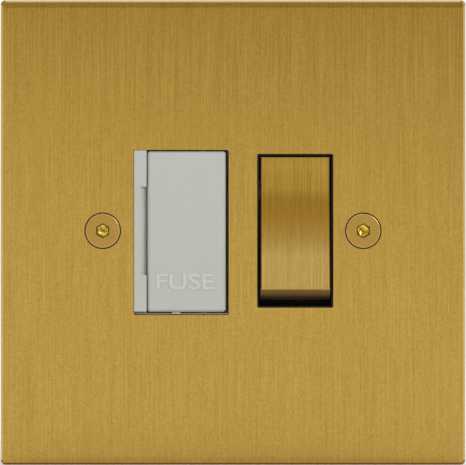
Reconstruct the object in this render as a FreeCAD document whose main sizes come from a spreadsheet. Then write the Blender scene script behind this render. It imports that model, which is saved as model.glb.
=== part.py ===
import FreeCAD, Part
import math
import operator
import os
from types import SimpleNamespace

import Sketcher

# A switched fused spur unit: a square brushed brass plate with a brass rocker switch and a
# swing-out carrier for a cartridge fuse, and behind it the moulded works that stand in the wall box.
# The wall is the plane y = 0, the room lies towards -y, +z is up, and the origin is the middle
# point between the two fixing screws.

DIMENSIONS = (
    # the plate, its gasket and its fixings
    ("plate_side", 107.5),
    ("plate_thick", 2.0),
    ("plate_corner", 1.1),
    ("plate_bevel", 0.45),
    ("row_rise", 0.4),
    ("gasket_thick", 0.5),
    ("gasket_inset", 2.0),
    ("gasket_width", 12.0),
    ("fixing_centres", 60.3),
    ("fixing_hole_r", 2.3),
    ("sink_r", 4.25),
    ("screw_head_r", 4.0),
    ("screw_shank_r", 1.75),
    ("screw_length", 25.0),
    ("screw_tip", 0.6),
    ("hex_flats", 2.5),
    ("hex_depth", 1.3),
    ("stud_r", 1.0),
    ("stud_length", 3.0),
    ("stud_x", 12.0),
    ("stud_in", 3.4),
    ("clip_side", 3.4),
    ("clip_thick", 0.5),
    # the openings in the plate
    ("fuse_hole_x", -12.0),
    ("fuse_hole_w", 22.0),
    ("fuse_hole_h", 38.2),
    ("rocker_hole_x", 14.4),
    ("rocker_hole_w", 17.6),
    ("rocker_hole_h", 35.6),
    ("hole_corner", 0.4),
    # the mouldings
    ("housing_w", 48.8),
    ("housing_h", 54.0),
    ("housing_corner", 2.0),
    ("housing_depth", 22.0),
    ("wall", 1.6),
    ("face_wall", 1.5),
    ("floor_thick", 2.0),
    ("bank_gap", 3.0),
    ("slip", 0.1),
    ("run", 0.05),
    ("collar_wall", 0.35),
    ("collar_recess", 0.5),
    ("well_wall", 1.6),
    ("ledge_gap", 1.3),
    ("ledge_thick", 0.9),
    ("ledge_w", 3.6),
    ("post_r", 2.3),
    ("post_screw_r", 1.2),
    ("post_head_r", 2.2),
    ("post_head", 1.5),
    ("post_floor", 2.0),
    ("post_left_x", 21.0),
    ("post_right_x", 2.6),
    ("post_in", 3.4),
    # the fuse frame and the carrier
    ("strip_w", 3.0),
    ("rim", 0.45),
    ("rim_recess", 1.3),
    ("frame_side", 0.4),
    ("frame_wall", 1.2),
    ("frame_end", 1.8),
    ("flange_w", 0.8),
    ("flange_thick", 0.8),
    ("frame_floor", 1.2),
    ("swing_clear", 1.1),
    ("rib_clear", 0.4),
    ("scoop_w", 1.6),
    ("scoop_h", 20.5),
    ("scoop_deep", 1.7),
    ("pip_w", 1.9),
    ("door_gap_left", 0.2),
    ("door_gap_right", 0.7),
    ("door_gap_top", 0.28),
    ("door_gap_bottom", 0.72),
    ("door_round", 0.5),
    ("hinge_in", 5.3),
    ("hinge_pin_r", 0.75),
    ("hinge_pin_length", 1.9),
    ("lug_r", 1.5),
    ("lug_w", 1.5),
    ("fuse_from_hinge", 6.2),
    ("fuse_depth", 4.7),
    ("fuse_length", 25.4),
    ("fuse_r", 3.175),
    ("fuse_tube_r", 2.85),
    ("fuse_cap_length", 6.4),
    ("fuse_cap_end", 0.4),
    ("fuse_cap_bevel", 0.3),
    ("cradle_wall", 0.85),
    ("cradle_h", 8.0),
    ("cradle_mouth", 2.565),
    ("end_rib", 1.3),
    # the rocker
    ("rocker_w", 16.16),
    ("rocker_half", 15.49),
    ("rocker_reach", 11.5),
    ("rocker_tilt", 9.0),
    ("top_recess", 0.3),
    ("face_slope", 8.0),
    ("face_bend", 55.0),
    ("skirt_draft", 7.0),
    ("skirt_depth", 9.5),
    ("cap_wall", 0.8),
    ("cap_round", 0.35),
    ("trunnion_r", 1.5),
    ("trunnion_length", 1.1),
    ("lever_foot_w", 5.0),
    ("plunger_r", 1.5),
    ("plunger_shows", 3.55),
    ("nose_r", 0.7),
    ("plunger_length", 5.4),
    ("spring_wire", 0.4),
    ("spring_turns", 6.0),
    ("bore_depth", 10.0),
    # the switch works
    ("pole_offset", 4.1),
    ("pole_w", 5.0),
    ("sheet_thick", 0.8),
    ("bead_r", 0.8),
    ("bead_gap", 2.565),
    ("arm_tilt", 8.5),
    ("arm_up", 12.0),
    ("arm_down", 9.0),
    ("saddle_w", 3.0),
    ("saddle_h", 0.9),
    ("contact_z", 10.2),
    ("contact_r", 1.5),
    ("tip_thick", 0.8),
    ("contact_gap", 3.3),
    ("bar_low", 7.6),
    ("bar_w", 4.4),
    ("clip_leaf_gap", 0.15),
    ("clip_leaf", 6.0),
    ("clip_reach", 1.5),
    ("leaf_clear", 0.5),
    # the terminals
    ("terminal_w", 7.0),
    ("terminal_deep", 8.0),
    ("terminal_h", 7.6),
    ("terminal_gap", 0.4),
    ("terminal_bevel", 0.3),
    ("cable_r", 2.1),
    ("cable_in", 2.6),
    ("entry_w", 5.2),
    ("access_w", 5.0),
    ("clamp_r", 1.75),
    ("screw_slot", 0.8),
    ("screw_slot_deep", 0.75),
    ("earth_x", 15.0),
    ("earth_pitch", 10.0),
    ("earth_riser_x", 2.9),
    ("earth_riser_w", 2.0),
)

doc = FreeCAD.newDocument("fused_spur_unit")
sheet = doc.addObject("Spreadsheet::Sheet", "sizes")
for row, (alias, number) in enumerate(DIMENSIONS, 1):
    sheet.set(f"A{row}", alias)
    sheet.set(f"B{row}", str(number))
    sheet.setAlias(f"B{row}", alias)
doc.recompute()


class Size:
    """A length or an angle that follows the sheet: its expression, and its value as built."""

    def __init__(self, text, value):
        self.text = text
        self.value = value

    def __add__(self, other):
        return joined(self, "+", other)

    def __radd__(self, other):
        return joined(other, "+", self)

    def __sub__(self, other):
        return joined(self, "-", other)

    def __rsub__(self, other):
        return joined(other, "-", self)

    def __mul__(self, other):
        return joined(self, "*", other)

    def __rmul__(self, other):
        return joined(other, "*", self)

    def __truediv__(self, other):
        return joined(self, "/", other)

    def __neg__(self):
        return joined(0.0, "-", self)


def sized(number):
    return number if isinstance(number, Size) else Size(repr(float(number)), float(number))


SIGNS = {"+": operator.add, "-": operator.sub, "*": operator.mul, "/": operator.truediv}


def joined(left, sign, right):
    left = sized(left)
    right = sized(right)
    return Size(f"({left.text} {sign} {right.text})", SIGNS[sign](left.value, right.value))


def cosine(angle):
    return Size(f"cos({angle.text})", math.cos(math.radians(angle.value)))


def sine(angle):
    return Size(f"sin({angle.text})", math.sin(math.radians(angle.value)))


def slope(angle):
    return Size(f"tan({angle.text})", math.tan(math.radians(angle.value)))


size = SimpleNamespace(**{
    alias: Size(f"sizes.{alias}", float(sheet.get(alias))) for alias, number in DIMENSIONS})

# Each plane of a sketch: the role of the origin plane, and whether its normal runs with its axis.
# front: x and z of the model, raised along y.  plan: x and y, along z.  side: y and z, along x.
PLANES = {"front": ("XZ_Plane", -1), "plan": ("XY_Plane", 1), "side": ("YZ_Plane", 1)}


def new_body(name):
    body = doc.addObject("PartDesign::Body", name)
    body.Label = name
    return body


class Drawing:
    """A sketch on one of a body's own planes, at a height along it, every point tied to the sheet."""

    def __init__(self, body, name, plane, height):
        role, sense = PLANES[plane]
        self.sketch = body.newObject("Sketcher::SketchObject", name)
        flat = [feature for feature in body.Origin.OriginFeatures if feature.Role == role][0]
        self.sketch.AttachmentSupport = (flat, [""])
        self.sketch.MapMode = "FlatFace"
        self.sketch.setExpression("AttachmentOffset.Base.z", (sense * sized(height)).text)

    def tie(self, kind, where, amount):
        number = self.sketch.addConstraint(Sketcher.Constraint(kind, *where, amount.value))
        self.sketch.setExpression(f"Constraints[{number}]", amount.text)

    def place(self, edge, end, point):
        self.tie("DistanceX", (-1, 1, edge, end), sized(point[0]))
        self.tie("DistanceY", (-1, 1, edge, end), sized(point[1]))

    def circle(self, x, y, radius):
        centre = FreeCAD.Vector(sized(x).value, sized(y).value, 0)
        edge = self.sketch.addGeometry(Part.Circle(centre, FreeCAD.Vector(0, 0, 1), radius.value), False)
        self.place(edge, 3, (x, y))
        self.tie("Radius", (edge,), radius)

    def outline(self, points, arcs=None):
        """A closed outline. arcs gives some sides a radius, by number, and True where the centre
        lies to the left on the way to the next point. A half circle's radius is left as None."""
        arcs = arcs or {}
        flat = [FreeCAD.Vector(sized(x).value, sized(y).value, 0) for x, y in points]
        ends = []
        for number, start in enumerate(flat):
            finish = flat[(number + 1) % len(flat)]
            if number in arcs:
                ends.append(self.arc(start, finish, *arcs[number]))
            else:
                ends.append((self.sketch.addGeometry(Part.LineSegment(start, finish), False), 1, 2))
        for number, (edge, begin, stop) in enumerate(ends):
            following, first, last = ends[(number + 1) % len(ends)]
            self.sketch.addConstraint(Sketcher.Constraint("Coincident", edge, stop, following, first))
            self.place(edge, begin, points[number])
        for number, (radius, left) in arcs.items():
            edge = ends[number][0]
            chord = flat[(number + 1) % len(flat)] - flat[number]
            if radius:
                self.tie("Radius", (edge,), radius)
            elif abs(chord.x) > abs(chord.y):
                self.tie("DistanceY", (-1, 1, edge, 3), sized(points[number][1]))
            else:
                self.tie("DistanceX", (-1, 1, edge, 3), sized(points[number][0]))

    def arc(self, start, finish, radius, left):
        chord = finish - start
        reach = radius.value if radius else chord.Length / 2
        rise = math.sqrt(max(reach ** 2 - chord.Length ** 2 / 4, 0.0))
        across = FreeCAD.Vector(-chord.y, chord.x, 0).normalize()
        centre = (start + finish) / 2 + across * (rise if left else -rise)
        first, last = (start, finish) if left else (finish, start)
        angles = [math.atan2(point.y - centre.y, point.x - centre.x) for point in (first, last)]
        if angles[1] < angles[0]:
            angles[1] += 2 * math.pi
        circle = Part.Circle(centre, FreeCAD.Vector(0, 0, 1), reach)
        edge = self.sketch.addGeometry(Part.ArcOfCircle(circle, *angles), False)
        return (edge, 1, 2) if left else (edge, 2, 1)

    def rectangle(self, x_low, x_high, y_low, y_high):
        self.outline([(x_low, y_low), (x_high, y_low), (x_high, y_high), (x_low, y_high)])

    def polygon(self, x, y, radius, sides):
        """A regular polygon by the radius of its corners, with one corner straight above its middle."""
        turns = [sized(90 + 360 * step / sides) for step in range(sides)]
        self.outline([(x + radius * cosine(angle), y + radius * sine(angle)) for angle in turns])


def grow(body, name, plane, low, high, draw):
    """Adds the drawn outline to the body as a solid from low to high along the plane's axis."""
    low = sized(low)
    high = sized(high)
    drawing = Drawing(body, f"{name}_outline", plane, low if PLANES[plane][1] > 0 else high)
    draw(drawing)
    pad = body.newObject("PartDesign::Pad", name)
    pad.Profile = drawing.sketch
    pad.setExpression("Length", (high - low).text)
    return pad


def carve(body, name, plane, low, high, draw):
    """Cuts the drawn outline out of the body from low to high, and makes sure that it removed something."""
    low = sized(low)
    high = sized(high)
    doc.recompute()
    before = body.Shape.Volume
    drawing = Drawing(body, f"{name}_outline", plane, high if PLANES[plane][1] > 0 else low)
    draw(drawing)
    pocket = body.newObject("PartDesign::Pocket", name)
    pocket.Profile = drawing.sketch
    pocket.setExpression("Length", (high - low).text)
    doc.recompute()
    if not body.Shape.Volume < before:
        raise ValueError(f"{body.Label}: {name} cuts nothing")
    return pocket


def turn(body, name, plane, axis, draw, cut=False):
    """Revolves an outline drawn beside an axis of its sketch, H_Axis or V_Axis."""
    drawing = Drawing(body, f"{name}_outline", plane, 0)
    draw(drawing)
    feature = body.newObject("PartDesign::Groove" if cut else "PartDesign::Revolution", name)
    feature.Profile = drawing.sketch
    feature.ReferenceAxis = (drawing.sketch, [axis])
    return feature


def soften(body, name, kind, amount, wanted):
    """Rounds or chamfers the edges of the body that the test picks."""
    doc.recompute()
    base = body.Tip
    edges = [f"Edge{number}" for number, edge in enumerate(base.Shape.Edges, 1) if wanted(edge)]
    feature = body.newObject(f"PartDesign::{kind}", name)
    feature.Base = (base, edges)
    feature.setExpression("Radius" if kind == "Fillet" else "Size", amount.text)
    doc.recompute()
    return feature


def runs_along(edge, axis):
    """True for a straight edge along x, y or z, given as 0, 1 or 2."""
    start, finish = edge.Vertexes[0].Point, edge.Vertexes[-1].Point
    spread = [abs(finish[k] - start[k]) for k in range(3)]
    return spread[axis] > 0.01 and sum(spread) - spread[axis] < 0.001


def lies_at(edge, axis, value):
    """True for an edge that lies wholly at one value of an axis."""
    box = edge.BoundBox
    low = (box.XMin, box.YMin, box.ZMin)[axis]
    high = (box.XMax, box.YMax, box.ZMax)[axis]
    return abs(low - value) < 0.001 and abs(high - value) < 0.001


def group(name, bodies):
    """Like pieces that share one node, as separate solids."""
    compound = doc.addObject("Part::Compound", name)
    compound.Label = name
    compound.Links = bodies
    return compound


# Places that several pieces share.
back = -size.gasket_thick
front = back - size.plate_thick
plate_mid = -size.row_rise

fuse_left = size.fuse_hole_x - size.fuse_hole_w / 2
fuse_right = size.fuse_hole_x + size.fuse_hole_w / 2
fuse_bottom = plate_mid - size.fuse_hole_h / 2
fuse_top = plate_mid + size.fuse_hole_h / 2
rocker_left = size.rocker_hole_x - size.rocker_hole_w / 2
rocker_right = size.rocker_hole_x + size.rocker_hole_w / 2
rocker_end = size.rocker_hole_h / 2

# The depth from the front tray to the rear floor, and the front of the two banks of terminals.
floor = size.housing_depth - size.floor_thick
strap_front = floor - size.sheet_thick
band = floor - size.terminal_deep
joint = band - size.bank_gap
inner_x = size.housing_w / 2 - size.wall
inner_z = size.housing_h / 2 - size.wall
terminal_in = inner_z - size.terminal_gap - size.terminal_h

# Middles of the plate's studs and of the screw posts: each pair stands on a diagonal of its own.
STUDS = [(-size.stud_x, size.housing_h / 2 - size.stud_in),
         (size.rocker_hole_x, size.stud_in - size.housing_h / 2)]
POSTS = [(-size.post_left_x, size.post_in - size.housing_h / 2),
         (size.post_right_x, size.housing_h / 2 - size.post_in)]


def front_plate():
    """Solid brass plate with bevelled edges, and two studs welded to its back."""
    half = size.plate_side / 2
    body = new_body("front_plate")
    grow(body, "slab", "front", front, back,
         lambda d: d.rectangle(-half, half, plate_mid - half, plate_mid + half))
    soften(body, "corners", "Fillet", size.plate_corner, lambda edge: runs_along(edge, 1))
    soften(body, "bevel", "Chamfer", size.plate_bevel, lambda edge: lies_at(edge, 1, front.value))
    carve(body, "fuse_hole", "front", front, back,
          lambda d: d.rectangle(fuse_left, fuse_right, fuse_bottom, fuse_top))
    carve(body, "rocker_hole", "front", front, back,
          lambda d: d.rectangle(rocker_left, rocker_right, -rocker_end, rocker_end))
    inside = half.value - size.plate_corner.value - 1
    soften(body, "hole_corners", "Fillet", size.hole_corner,
           lambda edge: runs_along(edge, 1) and abs(edge.Vertexes[0].X) < inside)
    for number, side in enumerate((-1, 1)):
        centre = side * size.fixing_centres / 2
        carve(body, f"fixing_hole_{number}", "front", front, back,
              lambda d: d.circle(centre, 0, size.fixing_hole_r))
        soften(body, f"countersink_{number}", "Chamfer", size.sink_r - size.fixing_hole_r,
               lambda edge: lies_at(edge, 1, front.value) and edge.Length < 7 * size.fixing_hole_r.value
               and abs(edge.BoundBox.Center.x - centre.value) < 0.1)
    for number, (x, z) in enumerate(STUDS):
        grow(body, f"stud_{number}", "front", back, back + size.stud_length,
             lambda d: d.circle(x, z, size.stud_r))
    return body


def wall_gasket():
    """Flat foam gasket between the plate and the wall, a frame just inside the plate's edge."""
    half = size.plate_side / 2 - size.gasket_inset
    clear = half - size.gasket_width
    body = new_body("wall_gasket")
    grow(body, "frame", "front", back, 0,
         lambda d: d.rectangle(-half, half, plate_mid - half, plate_mid + half))
    soften(body, "corners", "Fillet", size.plate_corner, lambda edge: runs_along(edge, 1))
    carve(body, "window", "front", back, 0,
          lambda d: d.rectangle(-clear, clear, plate_mid - clear, plate_mid + clear))
    return body


def fixing_screws():
    """Two countersunk machine screws with flat heads and hexagon sockets, flush with the plate."""
    land = size.sink_r - size.screw_head_r
    taper = size.screw_head_r - size.screw_shank_r
    corner = size.hex_flats / (2 * cosine(sized(30)))
    screws = []
    for number, side in enumerate((-1, 1)):
        body = new_body(f"fixing_screw_{number}")
        turn(body, "shape", "plan", "V_Axis", lambda d: d.outline([
            (0, 0), (size.screw_head_r, 0), (size.screw_head_r, land), (size.screw_shank_r, land + taper),
            (size.screw_shank_r, size.screw_length - size.screw_tip),
            (size.screw_shank_r - size.screw_tip, size.screw_length), (0, size.screw_length)]))
        carve(body, "socket", "front", 0, size.hex_depth, lambda d: d.polygon(0, 0, corner, 6))
        turn(body, "socket_point", "plan", "V_Axis", lambda d: d.outline([
            (0, size.hex_depth), (size.hex_flats / 2, size.hex_depth),
            (0, size.hex_depth + size.hex_flats / 4)]), cut=True)
        body.setExpression("Placement.Base.x", (side * size.fixing_centres / 2).text)
        body.setExpression("Placement.Base.y", front.text)
        screws.append(body)
    return group("fixing_screws", screws)


well_left = rocker_left + size.slip / 2 + size.collar_wall
well_right = rocker_right - size.slip / 2 - size.collar_wall
well_end = rocker_end - size.slip / 2 - size.collar_wall
pivot_y = front + size.top_recess + size.rocker_reach * cosine(size.rocker_tilt) \
    - size.rocker_half * sine(size.rocker_tilt)

# The frame of the fuse well, behind the plate and in its opening.
strip_right = fuse_left + size.strip_w
frame_left = fuse_left + size.frame_side
frame_right = fuse_right + size.frame_wall
frame_bottom = fuse_bottom - size.frame_end
frame_top = fuse_top + size.frame_end
fuse_axis_y = back + size.fuse_depth
leaf_front = fuse_axis_y + size.fuse_r + size.clip_leaf_gap
frame_inside = leaf_front + size.sheet_thick + size.leaf_clear
frame_back = frame_inside + size.frame_floor
rib_start = size.fuse_length / 2 + size.slip * 2
deep_half = rib_start + size.end_rib + size.rib_clear


def front_moulding():
    """Black front moulding: a tray behind the plate, the rocker's well with a ledge that closes each
    end of its floor, and the seat of the fuse frame."""
    half_w = size.housing_w / 2
    half_h = size.housing_h / 2
    inside = back + size.face_wall
    body = new_body("front_moulding")
    grow(body, "block", "front", back, joint,
         lambda d: d.rectangle(-half_w, half_w, -half_h, half_h))
    soften(body, "corners", "Fillet", size.housing_corner, lambda edge: runs_along(edge, 1))
    carve(body, "inside", "front", inside, joint,
          lambda d: d.rectangle(-inner_x, inner_x, -inner_z, inner_z))
    grow(body, "well", "front", back, joint,
         lambda d: d.rectangle(well_left - size.well_wall, half_w, -well_end - size.well_wall,
                               well_end + size.well_wall))
    grow(body, "collar", "front", front + size.collar_recess, back,
         lambda d: d.rectangle(rocker_left + size.slip / 2, rocker_right - size.slip / 2,
                               size.slip / 2 - rocker_end, rocker_end - size.slip / 2))
    soften(body, "collar_corners", "Fillet", size.hole_corner,
           lambda edge: runs_along(edge, 1) and edge.BoundBox.YMax < back.value + 0.001)
    for number, (x, z) in enumerate(POSTS):
        grow(body, f"post_{number}", "front", back, joint, lambda d: d.circle(x, z, size.post_r))
        carve(body, f"post_hole_{number}", "front", inside + size.post_floor, joint,
              lambda d: d.polygon(x, z, size.post_screw_r, FEW_SIDES))
    carve(body, "well_opening", "front", front, joint,
          lambda d: d.rectangle(well_left, well_right, -well_end, well_end))
    ledge = pivot_y + size.ledge_gap
    for name, side in (("upper_ledge", 1), ("lower_ledge", -1)):
        grow(body, name, "front", ledge, ledge + size.ledge_thick,
             lambda d: d.rectangle(well_left - size.slip, well_right + size.slip,
                                   *rows(side, well_end - size.ledge_w, well_end + size.slip)))
    carve(body, "fuse_opening", "front", back, joint,
          lambda d: d.rectangle(frame_left - size.slip, frame_right + size.slip,
                                frame_bottom - size.slip, frame_top + size.slip))
    lip = size.flange_w + size.slip
    carve(body, "flange_seat", "front", back, back + size.flange_thick,
          lambda d: d.rectangle(frame_left - lip, frame_right + lip, frame_bottom - lip, frame_top + lip))
    for number, (x, z) in enumerate(STUDS):
        carve(body, f"stud_hole_{number}", "front", back, inside,
              lambda d: d.polygon(x, z, size.stud_r + size.slip * 1.5, FEW_SIDES))
    carve(body, "earth_slot", "front", back, inside,
          lambda d: d.rectangle(size.earth_riser_x - size.earth_riser_w / 2 - size.slip * 2,
                                size.earth_riser_x + size.earth_riser_w / 2 + size.slip * 2,
                                terminal_in - size.sheet_thick - size.slip * 2,
                                terminal_in + size.slip * 2))
    reach = size.trunnion_length + size.slip * 2
    for name, low, high in (("left_bearing", well_left - reach, well_left),
                            ("right_bearing", well_right, well_right + reach)):
        carve(body, name, "side", low, high, lambda d: d.circle(pivot_y, 0, size.trunnion_r + size.run))
    return body


# Small hidden rounds that there are many of, such as the grub screws, are drawn with few sides.
FEW_SIDES = 12


def stud_clips():
    """Two square push-on clips of spring steel that hold the moulding to the plate's studs."""
    clips = []
    seat = back + size.face_wall
    half = size.clip_side / 2
    for number, (x, z) in enumerate(STUDS):
        body = new_body(f"stud_clip_{number}")
        grow(body, "clip", "front", seat, seat + size.clip_thick,
             lambda d: d.rectangle(x - half, x + half, z - half, z + half))
        carve(body, "grip", "front", seat, seat + size.clip_thick,
              lambda d: d.polygon(x, z, size.stud_r + size.slip, FEW_SIDES))
        clips.append(body)
    return group("stud_clips", clips)


hinge_x = fuse_right - size.door_gap_right - size.hinge_in
hinge_y = back + size.hinge_pin_r + size.run + size.slip
door_left = strip_right + size.door_gap_left
door_right = fuse_right - size.door_gap_right
door_bottom = fuse_bottom + size.door_gap_bottom
door_top = fuse_top - size.door_gap_top
fuse_axis_x = hinge_x - size.fuse_from_hinge
clip_riser_x = fuse_axis_x - size.fuse_r - size.clip_leaf_gap - size.clip_reach
clip_middle = size.bar_low + size.bar_w / 2 - plate_mid
clip_low = plate_mid + clip_middle - size.bar_w / 2
# Near its ends the well is only as deep as the door's short side needs when it swings in.
end_inside = hinge_y + size.hinge_in + size.swing_clear
end_back = end_inside + size.frame_floor


def fuse_frame():
    """Pale grey moulding round the fuse carrier: a strip with a screwdriver scoop, a rim, and the well."""
    body = new_body("fuse_frame")
    grow(body, "block", "front", back, end_back,
         lambda d: d.rectangle(frame_left, frame_right, frame_bottom, frame_top))
    deep = deep_half + size.frame_wall
    grow(body, "deep_block", "front", back, frame_back,
         lambda d: d.rectangle(frame_left, frame_right, plate_mid - deep, plate_mid + deep))
    grow(body, "flange", "front", back, back + size.flange_thick,
         lambda d: d.rectangle(frame_left - size.flange_w, frame_right + size.flange_w,
                               frame_bottom - size.flange_w, frame_top + size.flange_w))
    grow(body, "strip", "front", front, back,
         lambda d: d.rectangle(fuse_left + size.slip, strip_right,
                               door_bottom + size.slip, fuse_top - size.slip))
    grow(body, "rim", "front", front + size.rim_recess, back,
         lambda d: d.rectangle(fuse_left + size.slip, fuse_right - size.slip, fuse_bottom + size.slip,
                               fuse_bottom + size.rim))
    soften(body, "strip_corner", "Fillet", size.hole_corner,
           lambda edge: runs_along(edge, 1) and edge.BoundBox.YMax < back.value + 0.001
           and abs(edge.BoundBox.XMin - (fuse_left + size.slip).value) < 0.001
           and edge.BoundBox.ZMin > plate_mid.value)
    soften(body, "rim_corners", "Fillet", size.hole_corner / 2,
           lambda edge: runs_along(edge, 1) and edge.BoundBox.YMax < back.value + 0.001
           and edge.BoundBox.ZMin < (fuse_bottom + size.rim / 2).value)
    carve(body, "well", "front", back, end_inside,
          lambda d: d.rectangle(strip_right, fuse_right, fuse_bottom + size.rim, fuse_top))
    carve(body, "deep_well", "front", back, frame_inside,
          lambda d: d.rectangle(strip_right, fuse_right, plate_mid - deep_half, plate_mid + deep_half))
    grow(body, "pip", "front", front + size.collar_recess, back,
         lambda d: d.rectangle(fuse_axis_x - size.pip_w / 2, fuse_axis_x + size.pip_w / 2,
                               fuse_bottom + size.rim / 2, door_bottom - size.slip))
    scoop_left = strip_right - size.scoop_w
    carve(body, "scoop", "plan", -size.scoop_h / 2, size.scoop_h / 2,
          lambda d: d.outline([(scoop_left, front), (strip_right, front),
                               (strip_right, front + size.scoop_deep)]))
    slot_r = size.hinge_pin_r + size.run
    reach = size.hinge_pin_length
    for name, low, high in (("upper_pivot_slot", fuse_top, door_top + reach),
                            ("lower_pivot_slot", door_bottom - reach, fuse_bottom + size.rim)):
        carve(body, name, "plan", low, high, lambda d: d.outline([
            (hinge_x - slot_r, back), (hinge_x + slot_r, back), (hinge_x + slot_r, hinge_y),
            (hinge_x - slot_r, hinge_y)], {2: (None, True)}))
    spare = size.slip * 3
    for name, side in (("upper", 1), ("lower", -1)):
        middle = plate_mid + side * clip_middle
        half = size.bar_w / 2 + spare
        carve(body, f"{name}_clip_slot", "front", frame_inside, frame_back,
              lambda d: d.rectangle(clip_riser_x - spare, clip_riser_x + size.sheet_thick + spare,
                                    middle - half, middle + half))
    return body


terminal_mid = terminal_in + size.terminal_h / 2
pole_x = {"live": size.rocker_hole_x - size.pole_offset, "neutral": size.rocker_hole_x + size.pole_offset}
TERMINALS = (
    ("supply_live_terminal", pole_x["live"], -1),
    ("supply_neutral_terminal", pole_x["neutral"], -1),
    ("load_live_terminal", fuse_axis_x, -1),
    ("load_neutral_terminal", pole_x["neutral"], 1),
    ("supply_earth_terminal", -size.earth_x, 1),
    ("load_earth_terminal", size.earth_pitch - size.earth_x, 1),
)
cable_y = band + size.cable_in


def rows(side, low, high):
    """A stretch of z above the middle, or the same one below it."""
    return (low, high) if side > 0 else (-high, -low)


def rear_housing():
    """Black rear moulding: a tray with two banks of terminal chambers, cable entries and screw posts."""
    half_w = size.housing_w / 2
    half_h = size.housing_h / 2
    body = new_body("rear_housing")
    grow(body, "block", "front", joint, size.housing_depth,
         lambda d: d.rectangle(-half_w, half_w, -half_h, half_h))
    soften(body, "corners", "Fillet", size.housing_corner, lambda edge: runs_along(edge, 1))
    soften(body, "back_bevel", "Chamfer", size.wall / 2,
           lambda edge: lies_at(edge, 1, size.housing_depth.value))
    carve(body, "inside", "front", joint, floor,
          lambda d: d.rectangle(-inner_x, inner_x, -inner_z, inner_z))
    for name, side in (("upper_bank", 1), ("lower_bank", -1)):
        grow(body, name, "front", band, size.housing_depth - size.wall,
             lambda d: d.rectangle(-inner_x - size.wall / 2, inner_x + size.wall / 2,
                                   *rows(side, terminal_in, inner_z + size.wall / 2)))
    for number, (x, z) in enumerate(POSTS):
        grow(body, f"post_{number}", "front", joint, size.housing_depth - size.wall,
             lambda d: d.circle(x, z, size.post_r))
    entry = size.entry_w / 2
    access = size.access_w / 2
    for name, x, side in TERMINALS:
        half = size.terminal_w / 2 + size.slip
        outer = terminal_in + size.terminal_h
        carve(body, f"{name}_chamber", "front", band, floor,
              lambda d: d.rectangle(x - half, x + half, *rows(side, terminal_in, outer + size.slip)))
        carve(body, f"{name}_entry", "plan", *rows(side, outer, half_h),
              lambda d: d.rectangle(x - entry, x + entry, cable_y - entry, cable_y + entry))
        carve(body, f"{name}_access", "front", floor, size.housing_depth,
              lambda d: d.rectangle(x - access, x + access,
                                    side * terminal_mid - access, side * terminal_mid + access))
    for number, (x, z) in enumerate(POSTS):
        carve(body, f"post_hole_{number}", "front", joint, size.housing_depth,
              lambda d: d.polygon(x, z, size.post_screw_r + size.slip, FEW_SIDES))
        carve(body, f"post_sink_{number}", "front", size.housing_depth - size.post_head, size.housing_depth,
              lambda d: d.polygon(x, z, size.post_head_r + size.slip, FEW_SIDES))
    return body


def housing_screws():
    """Two slotted screws that close the rear moulding on the front one."""
    screws = []
    seat = size.housing_depth - size.post_head
    slot = size.screw_slot / 2
    for number, (x, z) in enumerate(POSTS):
        body = new_body(f"housing_screw_{number}")
        grow(body, "head", "front", seat, size.housing_depth - size.slip,
             lambda d: d.polygon(x, z, size.post_head_r, FEW_SIDES))
        grow(body, "shank", "front", back + size.face_wall + size.post_floor + size.slip * 5, seat,
             lambda d: d.polygon(x, z, size.post_screw_r - size.run, FEW_SIDES))
        slot_floor = size.housing_depth - size.slip - size.screw_slot_deep
        carve(body, "slot", "front", slot_floor, size.housing_depth,
              lambda d: d.rectangle(x - size.post_head_r, x + size.post_head_r, z - slot, z + slot))
        screws.append(body)
    return group("housing_screws", screws)


def terminals():
    """Six brass blocks, each with a cable bore and a threaded hole for its clamping screw."""
    blocks = []
    for name, x, side in TERMINALS:
        body = new_body(name)
        stretch = rows(side, terminal_in, terminal_in + size.terminal_h)
        grow(body, "block", "front", band, floor,
             lambda d: d.rectangle(x - size.terminal_w / 2, x + size.terminal_w / 2, *stretch))
        soften(body, "edges", "Chamfer", size.terminal_bevel, lambda edge: runs_along(edge, 2))
        carve(body, "cable_bore", "plan", *stretch, lambda d: d.circle(x, cable_y, size.cable_r))
        carve(body, "thread", "front", cable_y, floor,
              lambda d: d.polygon(x, side * terminal_mid, size.clamp_r, FEW_SIDES))
        blocks.append(body)
    return blocks


def terminal_screws():
    """Six slotted brass grub screws that clamp the cables, reached through the back of the housing."""
    screws = []
    for number, (name, x, side) in enumerate(TERMINALS):
        body = new_body(f"terminal_screw_{number}")
        z = side * terminal_mid
        top = floor + size.screw_slot_deep
        grow(body, "shank", "front", cable_y + size.cable_r + size.slip * 3, top,
             lambda d: d.polygon(x, z, size.clamp_r - size.run, FEW_SIDES))
        slot = size.screw_slot / 2
        carve(body, "slot", "front", top - size.screw_slot_deep, top,
              lambda d: d.rectangle(x - size.clamp_r, x + size.clamp_r, z - slot, z + slot))
        screws.append(body)
    return group("terminal_screws", screws)


# The see-saw arms turn on a bead in front of the fixed straps, and the plungers reach to within a
# running gap of the arms' front.
arm_front = size.saddle_h + size.sheet_thick
bead_y = strap_front - size.bead_gap
plunger_reach = bead_y - arm_front - size.slip / 2 - pivot_y
lever_foot = plunger_reach - size.plunger_shows


def pivot_bracket(pole):
    """Brass strap from the supply terminal to the bead on which the contact arm rocks."""
    x = pole_x[pole]
    half = size.pole_w / 2
    thick = size.sheet_thick
    body = new_body(f"{pole}_pivot_bracket")
    grow(body, "strap", "side", x - half, x + half, lambda d: d.outline([
        (strap_front, thick / 2), (bead_y, thick / 2), (bead_y, -thick / 2), (strap_front, -thick / 2),
        (strap_front, thick - terminal_in), (band + thick * 2, thick - terminal_in),
        (band + thick * 2, -terminal_in), (floor, -terminal_in), (floor, thick / 2)]))
    grow(body, "bead", "side", x - half, x + half, lambda d: d.circle(bead_y, 0, size.bead_r))
    return body


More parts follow.
